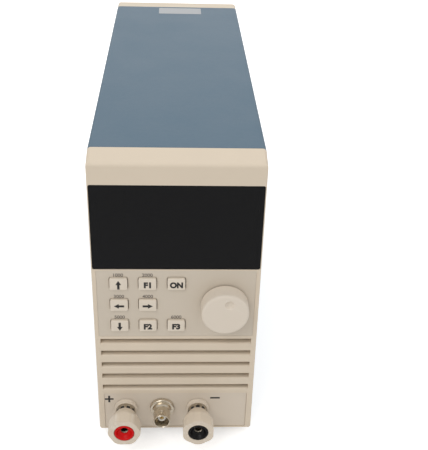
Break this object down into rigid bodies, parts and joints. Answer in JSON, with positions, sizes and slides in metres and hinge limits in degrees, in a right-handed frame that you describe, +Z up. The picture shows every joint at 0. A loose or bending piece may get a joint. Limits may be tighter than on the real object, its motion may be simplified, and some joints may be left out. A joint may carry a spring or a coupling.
{
  "type": "dc electronic load",
  "caption": "Tall narrow bench instrument with a dark display window, keys, one knob, air slots, screw terminals, a bayonet socket and a blue sheet-steel sleeve.",
  "frame": {"origin": "under the middle of the whole object, on the surface the feet stand on", "axes": "+Z up, the front with display and terminals faces -Y, +X to the right of someone who faces the front"},
  "size_m": [0.09, 0.2998, 0.1838],
  "materials": {
    "cream_moulding": "fine moulded texture, cream",
    "cream_keys": "smooth moulded, cream",
    "overlay_sheet": "matt printed sheet, grey cream",
    "blue_paint": "fine-grained blue grey paint",
    "rear_paint": "cream paint on steel",
    "zinc_steel": "zinc-plated sheet",
    "guard_chrome": "chromed wire",
    "smoked_acrylic": "dark smoked acrylic",
    "circuit_board": "green solder mask",
    "black_plastic": "black moulded",
    "red_plastic": "red moulded",
    "nickel_plate": "nickel plate",
    "brass": "turned brass",
    "tinned_copper": "tinned copper bar",
    "white_insulator": "white insulator",
    "extruded_aluminium": "plain extrusion",
    "core_laminations": "stacked laminations",
    "winding_tape": "yellow tape",
    "black_rubber": "moulded rubber"
  },
  "bodies": {
    "case": {"bayonet_body": "nickel_plate", "bayonet_contact": "brass", "bayonet_insulator": "white_insulator", "bayonet_nut": "nickel_plate", "chassis_tray": "zinc_steel", "control_board": "circuit_board", "control_overlay": "overlay_sheet", "deck_plate": "zinc_steel", "display_board": "circuit_board", "display_window": "smoked_acrylic", "encoder_body": "black_plastic", "encoder_nut": "nickel_plate", "fan_frame": "black_plastic", "fan_guard": "guard_chrome", "foot_front_left": "black_rubber", "foot_front_right": "black_rubber", "foot_rear_left": "black_rubber", "foot_rear_right": "black_rubber", "front_bezel": "cream_moulding", "heat_sink_lower": "extruded_aluminium", "heat_sink_upper": "extruded_aluminium", "inlet_socket": "black_plastic", "key_board": "circuit_board", "negative_bus_bar": "tinned_copper", "negative_collar": "cream_keys", "negative_nut": "nickel_plate", "negative_stud": "nickel_plate", "positive_bus_bar": "tinned_copper", "positive_collar": "cream_keys", "positive_nut": "nickel_plate", "positive_stud": "nickel_plate", "power_board": "circuit_board", "rear_bezel": "cream_moulding", "rear_panel": "rear_paint", "serial_port": "zinc_steel", "switch_frame": "black_plastic", "terminal_plate": "overlay_sheet", "top_cover": "blue_paint", "transformer_core": "core_laminations", "transformer_winding": "winding_tape"},
    "key_up_body": {"key_up": "cream_keys"},
    "key_mode_body": {"key_mode": "cream_keys"},
    "key_on_body": {"key_on": "cream_keys"},
    "key_left_body": {"key_left": "cream_keys"},
    "key_right_body": {"key_right": "cream_keys"},
    "key_down_body": {"key_down": "cream_keys"},
    "key_shift_body": {"key_shift": "cream_keys"},
    "key_set_body": {"key_set": "cream_keys"},
    "knob_body": {"knob": "cream_keys", "encoder_shaft": "nickel_plate"},
    "positive_thread": {"positive_bush": "brass"},
    "positive_cap_body": {"positive_cap": "cream_keys", "positive_ring": "red_plastic"},
    "negative_thread": {"negative_bush": "brass"},
    "negative_cap_body": {"negative_cap": "cream_keys", "negative_ring": "black_plastic"},
    "fan_rotor_body": {"fan_rotor": "black_plastic"},
    "fuse_drawer_body": {"fuse_drawer": "black_plastic"},
    "power_rocker_body": {"power_rocker": "black_plastic"}
  },
  "joints": [
    {"name": "key_up_press", "type": "slide", "parent": "case", "child": "key_up_body", "axis": [0, 1, 0], "range_m": [0, 0.0009], "stiffness_N_per_m": 800},
    {"name": "key_mode_press", "type": "slide", "parent": "case", "child": "key_mode_body", "axis": [0, 1, 0], "range_m": [0, 0.0009], "stiffness_N_per_m": 800},
    {"name": "key_on_press", "type": "slide", "parent": "case", "child": "key_on_body", "axis": [0, 1, 0], "range_m": [0, 0.0009], "stiffness_N_per_m": 800},
    {"name": "key_left_press", "type": "slide", "parent": "case", "child": "key_left_body", "axis": [0, 1, 0], "range_m": [0, 0.0009], "stiffness_N_per_m": 800},
    {"name": "key_right_press", "type": "slide", "parent": "case", "child": "key_right_body", "axis": [0, 1, 0], "range_m": [0, 0.0009], "stiffness_N_per_m": 800},
    {"name": "key_down_press", "type": "slide", "parent": "case", "child": "key_down_body", "axis": [0, 1, 0], "range_m": [0, 0.0009], "stiffness_N_per_m": 800},
    {"name": "key_shift_press", "type": "slide", "parent": "case", "child": "key_shift_body", "axis": [0, 1, 0], "range_m": [0, 0.0009], "stiffness_N_per_m": 800},
    {"name": "key_set_press", "type": "slide", "parent": "case", "child": "key_set_body", "axis": [0, 1, 0], "range_m": [0, 0.0009], "stiffness_N_per_m": 800},
    {"name": "knob_turn", "type": "hinge", "parent": "case", "child": "knob_body", "pos_m": [0.026, -0.1291, 0.0971], "axis": [0, 1, 0], "continuous": true},
    {"name": "positive_cap_travel", "type": "slide", "parent": "case", "child": "positive_thread", "axis": [0, -1, 0], "range_m": [0, 0.006]},
    {"name": "positive_cap_turn", "type": "hinge", "parent": "positive_thread", "child": "positive_cap_body", "pos_m": [-0.0289, -0.1291, 0.0225], "axis": [0, -1, 0], "range_deg": [0, 2160]},
    {"name": "negative_cap_travel", "type": "slide", "parent": "case", "child": "negative_thread", "axis": [0, -1, 0], "range_m": [0, 0.006]},
    {"name": "negative_cap_turn", "type": "hinge", "parent": "negative_thread", "child": "negative_cap_body", "pos_m": [0.01285, -0.1291, 0.0225], "axis": [0, -1, 0], "range_deg": [0, 2160]},
    {"name": "fan_spin", "type": "hinge", "parent": "case", "child": "fan_rotor_body", "pos_m": [0, 0.124, 0.0491], "axis": [0, 1, 0], "continuous": true},
    {"name": "fuse_drawer_pull", "type": "slide", "parent": "case", "child": "fuse_drawer_body", "axis": [0, 1, 0], "range_m": [0, 0.012]},
    {"name": "power_rocker_tilt", "type": "hinge", "parent": "case", "child": "power_rocker_body", "pos_m": [0.02, 0.1431, 0.1331], "axis": [-1, 0, 0], "range_deg": [0, 22]}
  ],
  "couplings": [
    {"joint": "positive_cap_travel", "follows": "positive_cap_turn", "m_per_rad": 0.00015915},
    {"joint": "negative_cap_travel", "follows": "negative_cap_turn", "m_per_rad": 0.00015915}
  ]
}
